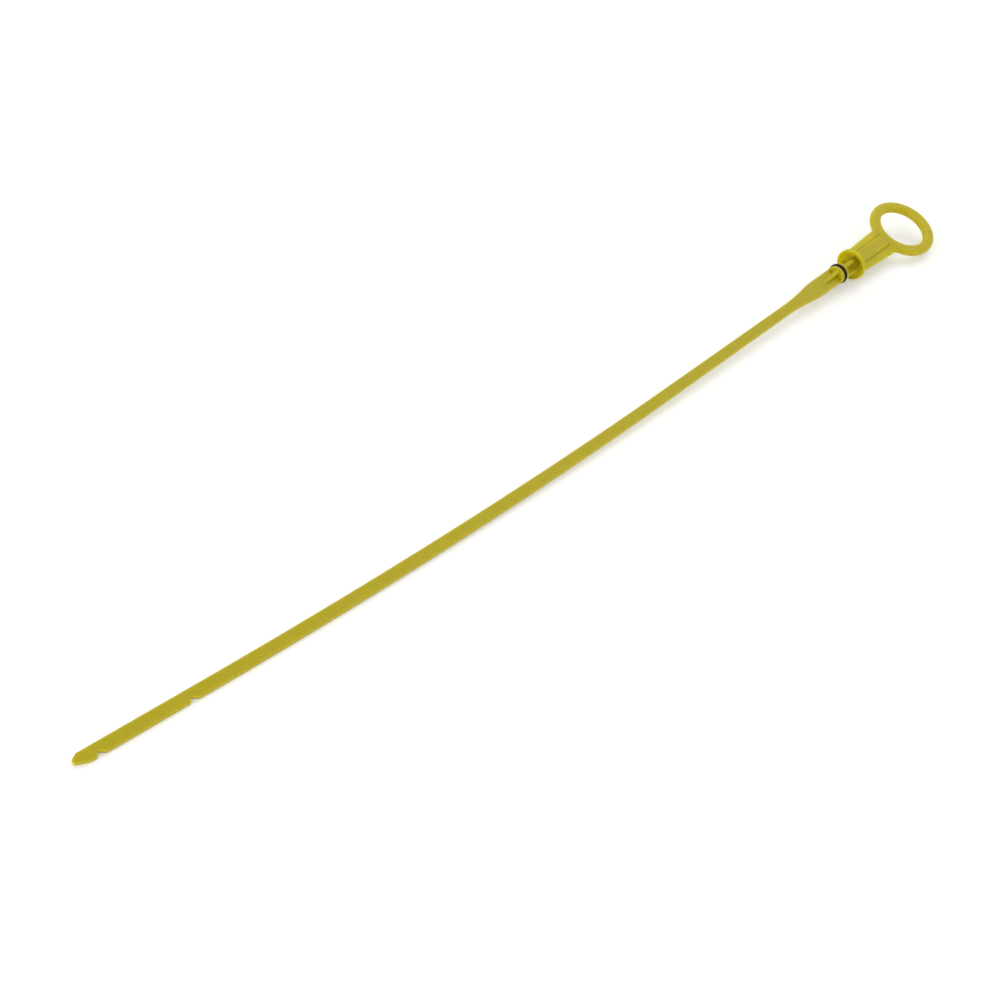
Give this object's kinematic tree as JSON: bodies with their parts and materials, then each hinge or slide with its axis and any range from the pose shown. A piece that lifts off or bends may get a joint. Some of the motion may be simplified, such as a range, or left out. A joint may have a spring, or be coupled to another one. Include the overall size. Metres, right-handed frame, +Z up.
{
  "type": "engine oil dipstick",
  "caption": "Moulded engine oil dipstick: finger ring on a flat neck, bell cup, cross-ribbed plug with a rubber seal, and a long bowed blade with two notches near its tip.",
  "frame": {"origin": "centre of the cup's open mouth on the stick's axis, where the end of the dipstick tube sits", "axes": "+X along the stick towards the finger ring, +Z up from the surface that the part lies on; the part is turned 17.25 degrees about the stick and slopes 1.36 degrees down to the tip, as it comes to rest"},
  "size_m": [0.5031, 0.033, 0.0156],
  "materials": {
    "moulded_nylon_handle": "satin moulded nylon",
    "moulded_nylon_stick": "satin moulded nylon",
    "moulded_nitrile_rubber": "matte moulded nitrile rubber"
  },
  "bodies": {
    "root": {"handle": "moulded_nylon_handle", "stick": "moulded_nylon_stick", "o_ring": "moulded_nitrile_rubber"}
  },
  "joints": []
}
